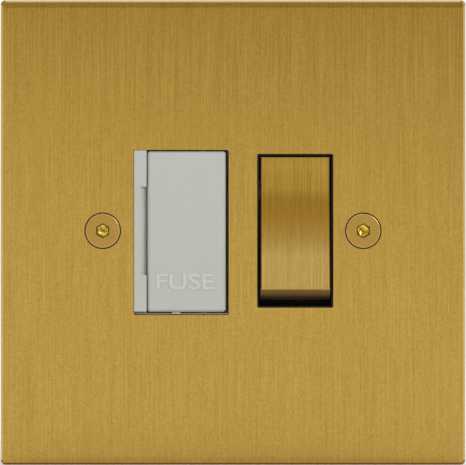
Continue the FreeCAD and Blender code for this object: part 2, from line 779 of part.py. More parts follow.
def contact_arm(pole):
    """Moving contact arm: a brass see-saw whose saddle rocks on the bead. It is built at its
    own pivot, level, and placed tipped to the open side."""
    x = pole_x[pole]
    half = size.pole_w / 2
    low = -arm_front
    high = -size.saddle_h
    body = new_body(f"{pole}_contact_arm")
    grow(body, "strip", "side", x - half, x + half, lambda d: d.outline([
        (low, -size.arm_down), (high, -size.arm_down), (high, -size.saddle_w / 2), (0, -size.saddle_w / 2),
        (0, size.saddle_w / 2), (high, size.saddle_w / 2), (high, size.arm_up), (low, size.arm_up)]))
    carve(body, "groove", "side", x - half, x + half, lambda d: d.circle(0, 0, size.bead_r + size.run))
    body.Placement = FreeCAD.Placement(FreeCAD.Vector(0, bead_y.value, 0),
                                       FreeCAD.Rotation(FreeCAD.Vector(1, 0, 0), size.arm_tilt.value))
    body.setExpression("Placement.Base.y", bead_y.text)
    body.setExpression("Placement.Rotation.Angle", size.arm_tilt.text)
    return body


def contact_tip(pole):
    """Silver tip riveted to the back of the moving arm."""
    x = pole_x[pole]
    body = new_body(f"{pole}_arm_tip")
    grow(body, "tip", "front", -size.saddle_h, size.tip_thick - size.saddle_h,
         lambda d: d.polygon(x, size.contact_z, size.contact_r, FEW_SIDES))
    body.Placement = FreeCAD.Placement(FreeCAD.Vector(0, bead_y.value, 0),
                                       FreeCAD.Rotation(FreeCAD.Vector(1, 0, 0), size.arm_tilt.value))
    body.setExpression("Placement.Base.y", bead_y.text)
    body.setExpression("Placement.Rotation.Angle", size.arm_tilt.text)
    return body


def fixed_contact_tips():
    """Two silver tips on the fixed straps, where the moving tips land."""
    open_tip = bead_y - size.saddle_h + size.tip_thick - size.contact_z * sine(size.arm_tilt)
    tips = []
    for pole in pole_x:
        body = new_body(f"{pole}_fixed_tip")
        grow(body, "tip", "front", open_tip + size.contact_gap, strap_front,
             lambda d: d.polygon(pole_x[pole], size.contact_z, size.contact_r, FEW_SIDES))
        tips.append(body)
    return group("fixed_contact_tips", tips)


def live_contact_strip():
    """Brass bar from the live pole's fixed contact across to the upper fuse clip."""
    body = new_body("live_contact_strip")
    half = size.pole_w / 2
    grow(body, "bar", "front", strap_front, floor,
         lambda d: d.rectangle(clip_riser_x - size.slip * 3, pole_x["live"] + half, clip_low,
                               clip_low + size.bar_w))
    return body


def neutral_contact_strip():
    """Brass strap from the neutral pole's fixed contact to the load terminal."""
    x = pole_x["neutral"]
    half = size.pole_w / 2
    thick = size.sheet_thick
    body = new_body("neutral_contact_strip")
    grow(body, "strap", "side", x - half, x + half, lambda d: d.outline([
        (strap_front, clip_low), (floor, clip_low), (floor, terminal_in),
        (band + thick * 2, terminal_in), (band + thick * 2, terminal_in - thick),
        (strap_front, terminal_in - thick)]))
    return body


def fuse_clip(name, side, foot):
    """Spring clip under one end cap of the fuse: foot, riser, a leaf behind the cap and one beside it."""
    thick = size.sheet_thick
    middle = plate_mid + side * clip_middle
    right = fuse_axis_x + size.fuse_r + size.clip_leaf_gap
    body = new_body(name)
    grow(body, "strip", "plan", middle - size.bar_w / 2, middle + size.bar_w / 2, lambda d: d.outline([
        (clip_riser_x, foot), (clip_riser_x, leaf_front), (right, leaf_front),
        (right, leaf_front - size.clip_leaf), (right + thick, leaf_front - size.clip_leaf),
        (right + thick, leaf_front + thick), (clip_riser_x + thick, leaf_front + thick),
        (clip_riser_x + thick, foot - thick), (fuse_axis_x, foot - thick), (fuse_axis_x, foot)]))
    return body


def lower_fuse_clip():
    """The lower clip is one strip with the strap that goes down to the load live terminal."""
    thick = size.sheet_thick
    body = fuse_clip("lower_fuse_clip", -1, floor)
    low = plate_mid - clip_middle + size.bar_w / 2
    grow(body, "strap", "side", fuse_axis_x - size.terminal_w / 2, fuse_axis_x, lambda d: d.outline([
        (strap_front, low), (floor, low), (floor, -terminal_in), (band + thick * 2, -terminal_in),
        (band + thick * 2, thick - terminal_in), (strap_front, thick - terminal_in)]))
    return body


def earth_bar():
    """Brass blade that joins the two earth blocks and rises to touch the back of the metal plate."""
    low = -size.earth_x - size.terminal_w / 2
    riser = size.earth_riser_x - size.earth_riser_w / 2
    high = size.earth_riser_x + size.earth_riser_w / 2
    body = new_body("earth_bar")
    grow(body, "blade", "plan", terminal_in - size.sheet_thick, terminal_in, lambda d: d.outline([
        (low, floor), (low, band + size.sheet_thick * 2), (riser, band + size.sheet_thick * 2), (riser, back),
        (high, back), (high, floor)]))
    return body


def rocker_profile(inset):
    """The rocker's section, y towards the room taken negative, with its pivot at the origin: two
    slopes that meet in a soft bend, and drafted ends. Returns points and arcs, inset by a wall."""
    a = size.rocker_half - inset
    reach = size.rocker_reach - inset
    bend = size.face_bend + inset
    part = bend * sine(size.face_slope)
    shoulder = reach - (a - part) * slope(size.face_slope)
    foot = size.rocker_reach - size.skirt_depth
    flare = (reach - foot) * slope(size.skirt_draft)
    points = [(-reach, -a), (-foot, -a - flare), (-foot, a + flare), (-reach, a),
              (-shoulder, part), (-shoulder, -part)]
    return points, {4: (bend, False)}


def hang_rocker(body):
    """Places a piece built about the rocker's axis, tipped to the off position."""
    body.Placement = FreeCAD.Placement(FreeCAD.Vector(size.rocker_hole_x.value, pivot_y.value, 0),
                                       FreeCAD.Rotation(FreeCAD.Vector(-1, 0, 0), size.rocker_tilt.value))
    body.setExpression("Placement.Base.x", size.rocker_hole_x.text)
    body.setExpression("Placement.Base.y", pivot_y.text)
    body.setExpression("Placement.Rotation.Angle", size.rocker_tilt.text)
    return body


def rocker_cap():
    """Brushed brass cap: a hollow shell with a dished face of two slopes and drafted ends."""
    half = size.rocker_w / 2
    foot = size.rocker_reach - size.skirt_depth
    body = new_body("rocker_cap")
    grow(body, "shell", "side", -half, half, lambda d: d.outline(*rocker_profile(sized(0))))
    soften(body, "edges", "Fillet", size.cap_round,
           lambda edge: edge.BoundBox.YMin < -foot.value - 0.01 and (
               lies_at(edge, 0, -half.value) or lies_at(edge, 0, half.value)
               or (runs_along(edge, 0) and abs(edge.BoundBox.ZMin) > size.rocker_half.value - 0.1))
           and edge.BoundBox.YMax < -foot.value - 0.01)
    carve(body, "hollow", "side", size.cap_wall - half, half - size.cap_wall,
          lambda d: d.outline(*rocker_profile(size.cap_wall)))
    return hang_rocker(body)


def rocker_lever():
    """Black lever inside the cap, with its trunnions and a foot bored for each pole's plunger."""
    half = size.rocker_w / 2 - size.cap_wall
    foot = size.rocker_reach - size.skirt_depth
    body = new_body("rocker_lever")
    grow(body, "core", "side", -half, half, lambda d: d.outline(*rocker_profile(size.cap_wall)))
    wide = size.lever_foot_w / 2
    grow(body, "foot", "side", -size.pole_offset - wide, size.pole_offset + wide, lambda d: d.outline([
        (-foot, -wide * 2), (0, -wide), (lever_foot, -wide), (lever_foot, wide), (0, wide),
        (-foot, wide * 2)]))
    reach = size.rocker_w / 2 + size.trunnion_length
    gap = (size.rocker_hole_w - size.rocker_w) / 2 - size.slip / 2 - size.collar_wall
    grow(body, "trunnions", "side", -reach - gap, reach + gap, lambda d: d.circle(0, 0, size.trunnion_r))
    for name, side in (("live", -1), ("neutral", 1)):
        x = side * size.pole_offset
        carve(body, f"{name}_bore", "front", lever_foot - size.bore_depth, lever_foot,
              lambda d: d.circle(x, 0, size.plunger_r + size.slip))
    return hang_rocker(body)


def plunger(pole, side):
    """Nylon plunger with a tapered nose that presses on the contact arm."""
    body = new_body(f"{pole}_plunger")
    top = plunger_reach - size.plunger_length
    taper = lever_foot + size.slip * 5
    turn(body, "pin", "plan", "V_Axis", lambda d: d.outline([
        (0, top), (size.plunger_r, top), (size.plunger_r, taper), (size.nose_r, plunger_reach),
        (0, plunger_reach)]))
    hang_rocker(body)
    body.setExpression("Placement.Base.x", (size.rocker_hole_x + side * size.pole_offset).text)
    return body


# A coil of a spring is drawn as this many straight runs.
COIL_RUNS = 8


def spring(pole, side):
    """Coil spring between the plunger and the end of its bore: square wire swept along a helix."""
    wire = size.spring_wire.value / 2
    mean = (size.plunger_r - size.spring_wire / 2).value
    low = (lever_foot - size.bore_depth + size.spring_wire / 2).value
    high = (plunger_reach - size.plunger_length - size.spring_wire / 2).value
    runs = round(size.spring_turns.value * COIL_RUNS)
    corners = []
    for run in range(runs + 1):
        angle = 2 * math.pi * run / COIL_RUNS
        corners.append(FreeCAD.Vector(mean * math.cos(angle), low + (high - low) * run / runs,
                                      mean * math.sin(angle)))
    along = (corners[1] - corners[0]).normalize()
    across = along.cross(FreeCAD.Vector(0, 1, 0)).normalize()
    over = across.cross(along)
    section = [corners[0] + across * wire * a + over * wire * b
               for a, b in ((1, 1), (-1, 1), (-1, -1), (1, -1), (1, 1))]
    coil = doc.addObject("Part::Feature", f"{pole}_spring")
    coil.Label = f"{pole}_spring"
    coil.Shape = Part.makePolygon(corners).makePipeShell([Part.makePolygon(section)], True, False, 1)
    hang_rocker(coil)
    coil.setExpression("Placement.Base.x", (size.rocker_hole_x + side * size.pole_offset).text)
    return coil


def fuse_carrier():
    """Pale grey carrier: door, pivot lugs and pins, a gripping cradle and two end ribs for the fuse."""
    body = new_body("fuse_carrier")
    grow(body, "door", "front", front, back,
         lambda d: d.rectangle(door_left, door_right, door_bottom, door_top))
    soften(body, "door_corners", "Fillet", size.door_round + size.slip * 2, lambda edge: runs_along(edge, 1))
    soften(body, "door_edge", "Chamfer", size.door_round, lambda edge: lies_at(edge, 1, front.value))
    outer = size.fuse_r + size.run + size.cradle_wall
    mid = plate_mid
    stretches = [("cradle", mid - size.cradle_h / 2, mid + size.cradle_h / 2),
                 ("upper_rib", mid + rib_start, mid + rib_start + size.end_rib),
                 ("lower_rib", mid - rib_start - size.end_rib, mid - rib_start)]
    for name, low, high in stretches:
        grow(body, name, "plan", low, high, lambda d: d.outline([
            (fuse_axis_x - outer, back - size.slip), (fuse_axis_x + outer, back - size.slip),
            (fuse_axis_x + outer, fuse_axis_y), (fuse_axis_x - outer, fuse_axis_y)], {2: (None, True)}))
    bore = size.fuse_r + size.run
    low, high = stretches[0][1:]
    carve(body, "grip", "plan", low, high, lambda d: d.circle(fuse_axis_x, fuse_axis_y, bore))
    carve(body, "mouth", "plan", low, high,
          lambda d: d.rectangle(fuse_axis_x - outer - size.wall, fuse_axis_x,
                                fuse_axis_y - size.cradle_mouth, fuse_axis_y + size.cradle_mouth))
    inset = size.slip * 3
    pin = size.hinge_pin_length - size.slip
    for name, start, stop, pin_low, pin_high in (
            ("upper", door_top - inset - size.lug_w, door_top - inset, door_top - inset, door_top + pin),
            ("lower", door_bottom + inset, door_bottom + inset + size.lug_w, door_bottom - pin,
             door_bottom + inset)):
        grow(body, f"{name}_lug", "plan", start, stop, lambda d: d.outline([
            (hinge_x - size.lug_r, back - size.slip), (hinge_x + size.lug_r, back - size.slip),
            (hinge_x + size.lug_r, hinge_y), (hinge_x - size.lug_r, hinge_y)], {2: (None, True)}))
        grow(body, f"{name}_pin", "plan", pin_low, pin_high,
             lambda d: d.circle(hinge_x, hinge_y, size.hinge_pin_r))
    return body


def fuse_pieces():
    """The cartridge fuse: a ceramic tube and two plated end caps."""
    end = size.fuse_length / 2
    inner = end - size.fuse_cap_end
    tube = new_body("fuse_tube")
    grow(tube, "tube", "plan", plate_mid - inner, plate_mid + inner,
         lambda d: d.circle(fuse_axis_x, fuse_axis_y, size.fuse_tube_r))
    pieces = [tube]
    for name, side in (("fuse_cap_upper", 1), ("fuse_cap_lower", -1)):
        open_end = end - size.fuse_cap_length
        low, high = rows(side, open_end, end)
        cap = new_body(name)
        grow(cap, "cap", "plan", plate_mid + low, plate_mid + high,
             lambda d: d.circle(fuse_axis_x, fuse_axis_y, size.fuse_r))
        soften(cap, "rim", "Chamfer", size.fuse_cap_bevel,
               lambda edge: lies_at(edge, 2, (plate_mid + side * end).value))
        low, high = rows(side, open_end, inner)
        carve(cap, "bore", "plan", plate_mid + low, plate_mid + high,
              lambda d: d.circle(fuse_axis_x, fuse_axis_y, size.fuse_tube_r))
        pieces.append(cap)
    return pieces


pieces = [front_plate(), wall_gasket(), fixing_screws(), front_moulding(), stud_clips(), fuse_frame(),
          rear_housing(), housing_screws(), *terminals(), terminal_screws(), fixed_contact_tips(),
          live_contact_strip(), neutral_contact_strip(), fuse_clip("upper_fuse_clip", 1, strap_front),
          lower_fuse_clip(), earth_bar(), rocker_cap(), rocker_lever(), fuse_carrier(), *fuse_pieces()]
for pole, side in (("live", -1), ("neutral", 1)):
    pieces += [pivot_bracket(pole), contact_arm(pole), contact_tip(pole), plunger(pole, side),
               spring(pole, side)]

doc.recompute()
for thing in doc.Objects:
    if "Invalid" in thing.State or "Error" in thing.State:
        raise ValueError(f"{thing.Label} failed: {thing.State}")
for piece in pieces:
    if piece.Shape.isNull() or not piece.Shape.isValid():
        raise ValueError(f"{piece.Label} has no valid shape")

os.makedirs("parts", exist_ok=True)
for piece in pieces:
    piece.Shape.exportStep(f"parts/{piece.Label}.step")
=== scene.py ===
import math

import bmesh
import bpy
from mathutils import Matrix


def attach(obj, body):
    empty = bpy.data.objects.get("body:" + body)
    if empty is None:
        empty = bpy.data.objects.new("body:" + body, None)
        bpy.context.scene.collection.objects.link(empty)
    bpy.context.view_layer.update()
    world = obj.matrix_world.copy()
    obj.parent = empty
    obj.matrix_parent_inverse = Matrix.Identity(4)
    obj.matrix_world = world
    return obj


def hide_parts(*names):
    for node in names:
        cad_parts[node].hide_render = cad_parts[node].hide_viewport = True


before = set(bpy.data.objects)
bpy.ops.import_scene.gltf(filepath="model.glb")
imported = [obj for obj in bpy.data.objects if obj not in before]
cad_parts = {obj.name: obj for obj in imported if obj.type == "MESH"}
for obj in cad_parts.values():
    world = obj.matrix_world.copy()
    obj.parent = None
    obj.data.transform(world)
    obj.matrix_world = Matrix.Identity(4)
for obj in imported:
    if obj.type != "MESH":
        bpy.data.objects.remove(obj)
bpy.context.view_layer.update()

# The front plate is solid brass, 2 mm thick, brushed upright on a belt and lacquered. Its rolled edge
# carries a painted highlight at the top and sides and painted shade below and at the corners, as it
# looks in the photograph. The countersinks are cut later, stay dull and carry painted shade. Two studs
# behind hold the mouldings.
MM = 0.001
MERGE = 0.002 * MM
FLAT_WITHIN = math.radians(0.6)
SMOOTH_BELOW = math.radians(38)
PLATE_FRONT = -2.5
PLATE_HALF = 53.75
PLATE_MIDDLE = -0.4
SCREW_X = 30.15


class Wire:
    """One output inside a material. Arithmetic on it adds Math nodes and gives a new one."""

    def __init__(self, finish, socket):
        self.finish = finish
        self.socket = socket

    def maths(self, operation, first, second):
        return self.finish.node("ShaderNodeMath", {"operation": operation}, {0: first, 1: second})

    def __add__(self, other):
        return self.maths("ADD", self, other)

    def __radd__(self, other):
        return self.maths("ADD", other, self)

    def __sub__(self, other):
        return self.maths("SUBTRACT", self, other)

    def __rsub__(self, other):
        return self.maths("SUBTRACT", other, self)

    def __mul__(self, other):
        return self.maths("MULTIPLY", self, other)

    def __rmul__(self, other):
        return self.maths("MULTIPLY", other, self)


class Tree:
    """A node tree with one method that adds a node: its settings first, then its inputs."""

    def __init__(self, tree):
        self.tree = tree

    def node(self, kind, settings=None, inputs=None, output=0):
        added = self.tree.nodes.new(kind)
        for name, value in (settings or {}).items():
            if name == "stops":
                ramp = added.color_ramp.elements
                while len(ramp) < len(value):
                    ramp.new(0.5)
                for stop, (place, colour) in zip(ramp, value):
                    stop.position = place
                    stop.color = (*colour, 1)
            else:
                setattr(added, name, value)
        for name, value in (inputs or {}).items():
            self.plug(added.inputs[name], value)
        return Wire(self, added.outputs[output]) if added.outputs else None

    def plug(self, socket, value):
        if isinstance(value, Wire):
            self.tree.links.new(value.socket, socket)
        else:
            socket.default_value = value


class Finish(Tree):
    """A material of one shader: constants go on the shader's sockets, patterns are plugged in."""

    def __init__(self, name, **constants):
        self.material = bpy.data.materials.new(name)
        self.material.use_nodes = True
        super().__init__(self.material.node_tree)
        self.shader = self.tree.nodes["Principled BSDF"]
        self.wear(**constants)
        self.place = self.node("ShaderNodeTexCoord", output=3)

    def wear(self, **patterns):
        for socket, value in patterns.items():
            self.plug(self.shader.inputs[socket.replace("_", " ")], value)
        return self

    def noise(self, across, along=None, detail=2.0, roughness=0.5):
        """Noise with so many spots to the metre sideways, and so many the other two ways."""
        spread = self.node("ShaderNodeMapping", inputs={
            "Vector": self.place, "Scale": (across, along or across, along or across)})
        return self.node("ShaderNodeTexNoise", inputs={
            "Vector": spread, "Scale": 1.0, "Detail": detail, "Roughness": roughness})

    def between(self, factor, low, high):
        """A colour that goes from low to high with the factor."""
        return self.node("ShaderNodeMix", {"data_type": "RGBA"}, {
            0: factor, 6: (*low, 1), 7: (*high, 1)}, output=2)

    def bump(self, height, depth):
        """Raises the surface by so many millimetres where the height is 1."""
        return self.wear(Normal=self.node("ShaderNodeBump", inputs={
            "Height": height, "Distance": depth * MM, "Strength": 1.0}))


def brushed(name, low, high, roughness, streak, speck):
    """Brass with upright brush lines: broad faint bands, narrow lines, short scratches and a grain."""
    finish = Finish(name, Metallic=1.0, Coat_Weight=0.3, Coat_Roughness=0.12)
    lines = finish.noise(2900, 40, 1.0)
    bands = finish.noise(420, 12)
    scratches = finish.noise(4200, 260, 1.0)
    grain = finish.noise(3800, 3000, 2.0, 0.7)
    tone = ((lines - 0.5) * streak + (bands - 0.5) * 0.2 + (scratches - 0.5) * 0.55
            + (grain - 0.5) * speck + 0.5)
    finish.wear(Base_Color=finish.between(tone, low, high),
                Roughness=roughness - 0.05 + lines * 0.1)
    return finish.bump(lines * 0.7 + scratches * 0.3, 0.014)


def painted_brass(name, low, high, roughness):
    """Brass without lacquer, in patches of two shades, that carries painted highlights on some pieces
    and painted shade on others.
    """
    finish = Finish(name, Metallic=1.0, Roughness=roughness)
    return finish.wear(Base_Color=finish.between(finish.noise(1500), low, high))


def taken(node):
    """The mesh of a node, merged into whole flat faces, ready to be worked on."""
    bm = bmesh.new()
    bm.from_mesh(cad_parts[node].data)
    bmesh.ops.remove_doubles(bm, verts=bm.verts, dist=MERGE)
    bmesh.ops.recalc_face_normals(bm, faces=bm.faces)
    bmesh.ops.dissolve_limit(bm, angle_limit=FLAT_WITHIN, verts=bm.verts, edges=bm.edges)
    return bm


def ease(bm, width, segments=2, sharp=30, only=None):
    """Rounds edges that turn by more than so many degrees, or only those whose ends pass a test."""
    edges = [edge for edge in bm.edges
             if edge.is_manifold and edge.calc_face_angle() > math.radians(sharp)
             and (only is None or all(only(vert.co / MM) for vert in edge.verts))]
    bmesh.ops.bevel(bm, geom=edges, offset=width * MM, segments=segments, profile=0.5,
                    affect="EDGES", clamp_overlap=True, material=-1)
    return bm


def made(name, bm, body, finishes, choose=None, replaced=()):
    """Ends a piece: smooth between sharp edges, with its finishes and its place in the frame."""
    for face in bm.faces:
        face.smooth = True
        if choose:
            face.material_index = choose(face.calc_center_median() / MM, face.normal)
    for edge in bm.edges:
        edge.smooth = edge.is_manifold and edge.calc_face_angle() < SMOOTH_BELOW
    mesh = bpy.data.meshes.new(name)
    bm.to_mesh(mesh)
    bm.free()
    for finish in finishes:
        mesh.materials.append(finish.material)
    piece = bpy.data.objects.new(name, mesh)
    bpy.context.scene.collection.objects.link(piece)
    flat = piece.modifiers.new("flat_faces", "WEIGHTED_NORMAL")
    flat.keep_sharp = True
    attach(piece, body)
    if replaced:
        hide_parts(*replaced)
    return piece


brass = brushed("brushed_brass", (0.415, 0.257, 0.034), (0.615, 0.394, 0.082), 0.17, 1.2, 1.9)
# Dull brass painted almost black with shade, for the countersinks, the sockets' walls and the rocker's
# narrow sides.
painted_shade_brass = painted_brass("dull_painted_shade", (0.07, 0.04, 0.015), (0.12, 0.07, 0.03), 0.55)
painted_shade_brass.bump(painted_shade_brass.noise(1500), 0.01)
# Painted light on the plate's rolled edge: a pale painted highlight for the top and sides, and painted
# shade for the underside and corners.
painted_highlight_brass = painted_brass("painted_highlight_brass", (0.62, 0.43, 0.19), (0.74, 0.53, 0.26), 0.3)
painted_edge_shade_brass = painted_brass("painted_edge_shade_brass", (0.25, 0.12, 0.022), (0.36, 0.19, 0.038), 0.4)

# From the shoulder on, the plate's face falls towards its edge with the square of the distance.
SHOULDER = 1.9
SHOULDER_CUTS = (0.8, 1.15, 1.5, SHOULDER)
FALL = 0.04
SKIN = 0.1
plate = taken("front_plate")
for side in (-1, 1):
    for inset in SHOULDER_CUTS:
        for way, middle in (((1, 0, 0), 0), ((0, 0, 1), PLATE_MIDDLE)):
            cut = [MM * (middle + side * (PLATE_HALF - inset)) * k for k in way]
            bmesh.ops.bisect_plane(plate, geom=plate.verts[:] + plate.edges[:] + plate.faces[:],
                                   plane_co=cut, plane_no=way)
for vert in plate.verts:
    if vert.co.y < (PLATE_FRONT + SKIN) * MM:
        for place in (vert.co.x / MM, vert.co.z / MM - PLATE_MIDDLE):
            near = max(0.0, SHOULDER - (PLATE_HALF - abs(place)))
            vert.co.y += FALL * near ** 2 * MM


def from_middle(at):
    """How far a place is from the plate's middle: the smaller way, then the larger."""
    return sorted((abs(at.x), abs(at.z - PLATE_MIDDLE)))


def from_screw(at):
    """How far a place is from the axis of the nearer screw."""
    return math.hypot(abs(at.x) - SCREW_X, at.z)


EDGE_FROM, CORNER_FROM, HOLES_WITHIN = 53.1, 52.7, 50
EDGE_BACK = -1.9
EDGE_ROUND, HOLE_ROUND = 0.3, 0.09
ease(plate, EDGE_ROUND, 4, 24, lambda at: at.y < EDGE_BACK and from_middle(at)[1] > EDGE_FROM)
ease(plate, HOLE_ROUND, 2, 30, lambda at: from_middle(at)[1] < HOLES_WITHIN)

# A face lies level with the plate where its normal points forward by more than FLAT, and stands
# upright where it does so by less than STEEP. An edge looks down where its normal does by DOWN.
FLAT, STEEP, DOWN = 0.95, 0.2, 0.3
SINK_RADIUS = 4.35
# RIM is a finish with a painted highlight; SINK and UNDER are finishes with painted shade.
FACE, SINK, RIM, UNDER = range(4)


def plate_face(at, way):
    """Which finish a face of the plate has, by its middle and its normal."""
    # The countersink's walls carry painted shade.
    if from_screw(at) < SINK_RADIUS and abs(way.y) < FLAT:
        return SINK
    smaller, larger = from_middle(at)
    # The rolled edge gets painted shade below and at the corners, and a painted highlight at the top
    # and sides.
    if larger > EDGE_FROM and -FLAT < way.y < -STEEP:
        return UNDER if way.z < -DOWN or smaller > CORNER_FROM else RIM
    return FACE


made("plate", plate, "base", [brass, painted_shade_brass, painted_highlight_brass, painted_edge_shade_brass],
     plate_face, ["front_plate"])


# The gasket is a flat frame of closed-cell foam, die-cut from a sheet. It is stuck behind the
# plate's edge and seals it against the wall.
def finished(node, finish):
    """Gives a node of the frame its finish."""
    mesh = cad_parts[node].data
    mesh.materials.clear()
    mesh.materials.append(finish.material)


foam = Finish("gasket_foam", Roughness=0.95)
cells = foam.noise(2600)
foam.wear(Base_Color=foam.between(cells, (0.028, 0.028, 0.030), (0.055, 0.055, 0.058)))
foam.bump(cells, 0.08)
finished("wall_gasket", foam)

# Two countersunk brass machine screws with hexagon sockets hold the unit to its box. They are
# turned, so their faces carry no brush lines, and a small chamfer runs round each head and socket.
# The head's chamfer carries a painted highlight, the socket's floor painted glints and dark patches,
# and the socket's walls painted shade. The thread is painted darker in its roots than on its crests.
def metal(name, low, high, roughness):
    """Plain bright metal with faint marks of the press and of handling."""
    finish = Finish(name, Metallic=1.0)
    marks = finish.noise(900, detail=3.0)
    finish.wear(Base_Color=finish.between(marks, low, high),
                Roughness=roughness - 0.08 + marks * 0.16)
    return finish.bump(marks, 0.008)


turned = Finish("turned_brass", Metallic=1.0)
marks = turned.noise(3800)
turned.wear(Base_Color=turned.between(marks, (0.465, 0.288, 0.054), (0.570, 0.360, 0.086)),
            Roughness=0.22 + marks * 0.1)
turned.bump(marks, 0.006)
# The socket's floor is painted with glints: bright and dark blotches in strong contrast stand in for
# the light and shade it mirrors.
bright = Finish("socket_glint_brass", Metallic=1.0)
marks = bright.noise(1150, detail=1.0)
glint_contrast = (marks - 0.5) * 3.4 + 0.5
bright.wear(Base_Color=bright.between(glint_contrast, (0.26, 0.14, 0.01), (0.95, 0.66, 0.10)),
            Roughness=0.12 + marks * 0.1)
bright.bump(marks, 0.12)
# The chamfer's pale colour is a painted highlight.
chamfer_highlight = metal("chamfer_highlight_brass", (0.66, 0.46, 0.18), (0.78, 0.56, 0.26), 0.3)

THREAD_PITCH, THREAD_WOBBLE, THREAD_DEEP = 0.6, 0.05, 0.3
threaded = Finish("threaded_brass", Metallic=1.0, Roughness=0.3)
depth = threaded.node("ShaderNodeSeparateXYZ", inputs={0: threaded.place}, output=1)
ridge = threaded.node("ShaderNodeMath", {"operation": "PINGPONG"}, {
    0: depth + threaded.noise(300) * (THREAD_WOBBLE * MM),
    1: THREAD_PITCH * MM / 2}) * (2 / (THREAD_PITCH * MM))
# The thread's colour is painted shade in its roots and painted light on its crests, following the
# ridges.
threaded.wear(Base_Color=threaded.between(ridge, (0.22, 0.13, 0.03), (0.55, 0.37, 0.11)))
threaded.bump(ridge, THREAD_DEEP)

HEAD_ROUND, HEAD_BACK, HEAD_RADIUS = 0.22, -2.4, 3.9
MOUTH_ROUND, MOUTH_BACK, MOUTH_WITHIN = 0.26, -2.2, 2
screws = taken("fixing_screws")
ease(screws, HEAD_ROUND, 3, 30, lambda at: at.y < HEAD_BACK and from_screw(at) > HEAD_RADIUS)
ease(screws, MOUTH_ROUND, 2, 40, lambda at: at.y < MOUTH_BACK and from_screw(at) < MOUTH_WITHIN)

# Radii on a screw, and places along it from the wall's face, where one finish ends and another begins.
SOCKET_RADIUS, MOUTH_RADIUS, RIM_RADIUS = 1.43, 1.8, 3.76
CHAMFER_BACK, SOCKET_FLOOR, THREAD_START = -2.3, -1.3, 0.2
HEAD_FLAT = 0.97
HEAD, HEX_FLOOR, HEX_WALL, CHAMFER, THREAD = range(5)


def screw_face(at, way):
    """Which finish a face of a screw has, by its middle and its normal."""
    out = from_screw(at)
    if at.y > THREAD_START:
        return THREAD
    # The socket's floor gets painted glints.
    if out < SOCKET_RADIUS and at.y > SOCKET_FLOOR:
        return HEX_FLOOR
    # The socket's walls carry painted shade.
    if out < MOUTH_RADIUS and abs(way.y) < FLAT:
        return HEX_WALL
    # The head's chamfer gets a painted highlight.
    on_rim = out > RIM_RADIUS and at.y < CHAMFER_BACK
    return CHAMFER if on_rim and -HEAD_FLAT < way.y < -STEEP else HEAD


made("wall_screws", screws, "base",
     [turned, bright, painted_shade_brass, chamfer_highlight, threaded], screw_face, ["fixing_screws"])


# The front moulding is black, with a collar that lines the rocker's opening. Square clips of
# spring steel, pushed on the plate's studs, hold it to the plate.
def moulded(name, low, high, roughness, texture=0.012):
    """Moulded plastic: an even colour that clouds slightly, under a fine eroded texture."""
    finish = Finish(name)
    pores = finish.noise(5200)
    finish.wear(Base_Color=finish.between(finish.noise(160, detail=3.0), low, high),
                Roughness=roughness - 0.05 + pores * 0.1)
    return finish.bump(pores, texture)


black = moulded("black_plastic", (0.004, 0.004, 0.005), (0.008, 0.008, 0.009), 0.55)
black.wear(Specular_IOR_Level=0.3)
made("front_tray", ease(taken("front_moulding"), 0.07), "base", [black],
     replaced=["front_moulding"])

spring_steel = metal("spring_steel", (0.36, 0.36, 0.37), (0.50, 0.50, 0.51), 0.30)
finished("stud_clips", spring_steel)

# The fuse frame is pale grey. A strip down its left carries a scoop, so that a screwdriver can
# lift the door's edge, and a low rim below the door has a small raised stop.
grey = moulded("grey_plastic", (0.492, 0.511, 0.446), (0.522, 0.541, 0.476), 0.46, 0.008)
surround = taken("fuse_frame")
SCOOP_LEFT, SCOOP_HALF, SCOOP_ROUND = -21.6, 10.25, 0.75
NEAR = 0.01
ease(surround, SCOOP_ROUND, 6, 30, lambda at: abs(at.x - SCOOP_LEFT) < NEAR
     and at.y < PLATE_FRONT + NEAR and abs(at.z) < SCOOP_HALF + NEAR)
made("fuse_surround", ease(surround, 0.09), "base", [grey], replaced=["fuse_frame"])

# The fuse carrier is a second grey moulding: a door with rounded edges on two pins, and a cradle
# behind it that grips the fuse. The word FUSE is raised on the door in plain capitals.
made("carrier", ease(taken("fuse_carrier"), 0.18, 3), "fuse_door", [grey],
     replaced=["fuse_carrier"])
WORD_LEFT, WORD_RIGHT = -17.73, -4.36
WORD_FOOT, WORD_HEAD = -13.63, -9.97
WORD_RISE, WORD_SUNK = 0.14, 0.05
# The type is set one unit high, made a mesh and then fitted to the word's box.
curve = bpy.data.curves.new("word", "FONT")
curve.body = "FUSE"
curve.offset = 0.003
curve.extrude = 0.05
curve.bevel_depth = 0.008
letters = bpy.data.objects.new("word", curve)
bpy.context.scene.collection.objects.link(letters)
word = bmesh.new()
word.from_mesh(letters.evaluated_get(bpy.context.evaluated_depsgraph_get()).to_mesh())
bpy.data.objects.remove(letters)
low = [min(vert.co[k] for vert in word.verts) for k in range(3)]
high = [max(vert.co[k] for vert in word.verts) for k in range(3)]
for vert in word.verts:
    x, y, z = [(vert.co[k] - low[k]) / (high[k] - low[k]) for k in range(3)]
    vert.co = (MM * (WORD_LEFT + x * (WORD_RIGHT - WORD_LEFT)),
               MM * (PLATE_FRONT + WORD_SUNK - z * (WORD_RISE + WORD_SUNK)),
               MM * (WORD_FOOT + y * (WORD_HEAD - WORD_FOOT)))
bmesh.ops.remove_doubles(word, verts=word.verts, dist=MERGE)
bmesh.ops.recalc_face_normals(word, faces=word.faces)
pale = moulded("letter_plastic", (0.580, 0.598, 0.540), (0.610, 0.628, 0.570), 0.4, 0.004)
made("door_word", word, "fuse_door", [pale])

